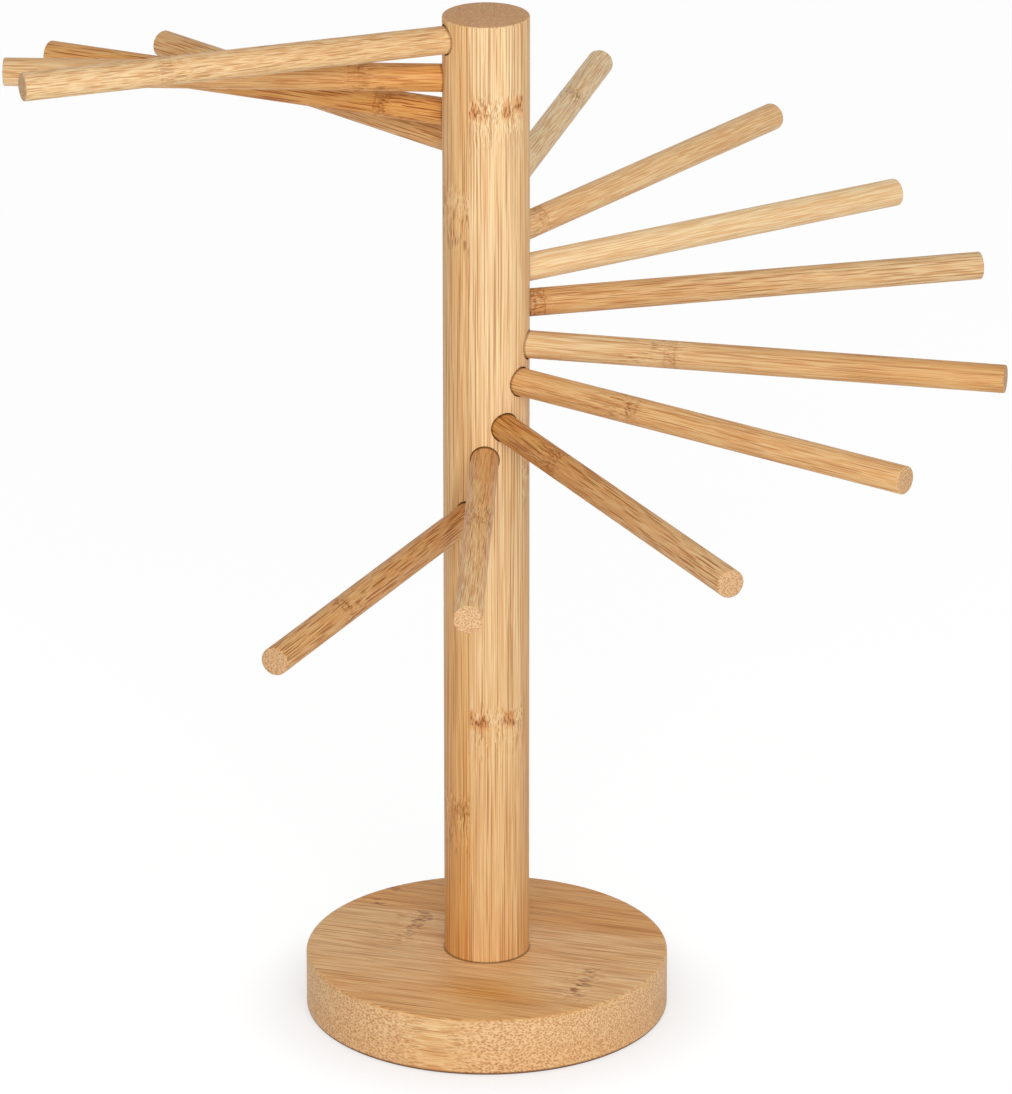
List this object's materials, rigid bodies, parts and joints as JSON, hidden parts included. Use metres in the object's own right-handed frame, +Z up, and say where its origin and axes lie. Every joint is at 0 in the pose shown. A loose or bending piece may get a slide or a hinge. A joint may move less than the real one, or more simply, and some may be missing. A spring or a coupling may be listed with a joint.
{
  "type": "pasta drying rack",
  "caption": "Bamboo pasta drying rack: a round post on a round base, with plain push-in rods that wind down it in a spiral for hanging fresh noodles.",
  "frame": {"origin": "middle of the base's underside, where the post's axis meets the floor", "axes": "+Z up along the post; -Y towards the viewer of the picture, so +X is to the viewer's right"},
  "size_m": [0.4227, 0.4147, 0.452],
  "materials": {
    "bamboo_base": "sanded bamboo, oiled, satin",
    "bamboo_post": "sanded bamboo, oiled, satin",
    "bamboo_rod": "turned bamboo, oiled, satin",
    "zinc_steel": "bright zinc plate"
  },
  "bodies": {
    "stand": {"base": "bamboo_base", "post": "bamboo_post", "threaded_insert": "zinc_steel", "bolt_washer": "zinc_steel", "base_bolt": "zinc_steel"},
    "arm_01": {"rod_01": "bamboo_rod"},
    "arm_02": {"rod_02": "bamboo_rod"},
    "arm_03": {"rod_03": "bamboo_rod"},
    "arm_04": {"rod_04": "bamboo_rod"},
    "arm_05": {"rod_05": "bamboo_rod"},
    "arm_06": {"rod_06": "bamboo_rod"},
    "arm_07": {"rod_07": "bamboo_rod"},
    "arm_08": {"rod_08": "bamboo_rod"},
    "arm_09": {"rod_09": "bamboo_rod"},
    "arm_10": {"rod_10": "bamboo_rod"},
    "arm_11": {"rod_11": "bamboo_rod"},
    "arm_12": {"rod_12": "bamboo_rod"},
    "arm_13": {"rod_13": "bamboo_rod"},
    "arm_14": {"rod_14": "bamboo_rod"}
  },
  "joints": [
    {"name": "rod_01_slide", "type": "slide", "parent": "stand", "child": "arm_01", "axis": [-0.9361, -0.3518, 0], "range_m": [0, 0.0316]},
    {"name": "rod_02_slide", "type": "slide", "parent": "stand", "child": "arm_02", "axis": [-0.9989, 0.0459, 0], "range_m": [0, 0.0316]},
    {"name": "rod_03_slide", "type": "slide", "parent": "stand", "child": "arm_03", "axis": [-0.9035, 0.4286, 0], "range_m": [-0.00532, 0.02628]},
    {"name": "rod_04_slide", "type": "slide", "parent": "stand", "child": "arm_04", "axis": [-0.6861, 0.7275, 0], "range_m": [-0.00399, 0.02761]},
    {"name": "rod_05_slide", "type": "slide", "parent": "stand", "child": "arm_05", "axis": [-0.0718, 0.9974, 0], "range_m": [-0.00798, 0.02362]},
    {"name": "rod_06_slide", "type": "slide", "parent": "stand", "child": "arm_06", "axis": [0.2342, 0.9722, 0], "range_m": [-0.01197, 0.01963]},
    {"name": "rod_07_slide", "type": "slide", "parent": "stand", "child": "arm_07", "axis": [0.5851, 0.811, 0], "range_m": [-0.0133, 0.0183]},
    {"name": "rod_08_slide", "type": "slide", "parent": "stand", "child": "arm_08", "axis": [0.8465, 0.5324, 0], "range_m": [-0.00798, 0.02362]},
    {"name": "rod_09_slide", "type": "slide", "parent": "stand", "child": "arm_09", "axis": [0.9702, 0.2422, 0], "range_m": [-0.01596, 0.01564]},
    {"name": "rod_10_slide", "type": "slide", "parent": "stand", "child": "arm_10", "axis": [0.9768, -0.2141, 0], "range_m": [-0.01995, 0.01165]},
    {"name": "rod_11_slide", "type": "slide", "parent": "stand", "child": "arm_11", "axis": [0.7956, -0.6058, 0], "range_m": [-0.0133, 0.0183]},
    {"name": "rod_12_slide", "type": "slide", "parent": "stand", "child": "arm_12", "axis": [0.4436, -0.8962, 0], "range_m": [-0.01995, 0.01165]},
    {"name": "rod_13_slide", "type": "slide", "parent": "stand", "child": "arm_13", "axis": [-0.0345, -0.9994, 0], "range_m": [0, 0.0316]},
    {"name": "rod_14_slide", "type": "slide", "parent": "stand", "child": "arm_14", "axis": [-0.4221, -0.9065, 0], "range_m": [0, 0.0316]}
  ]
}
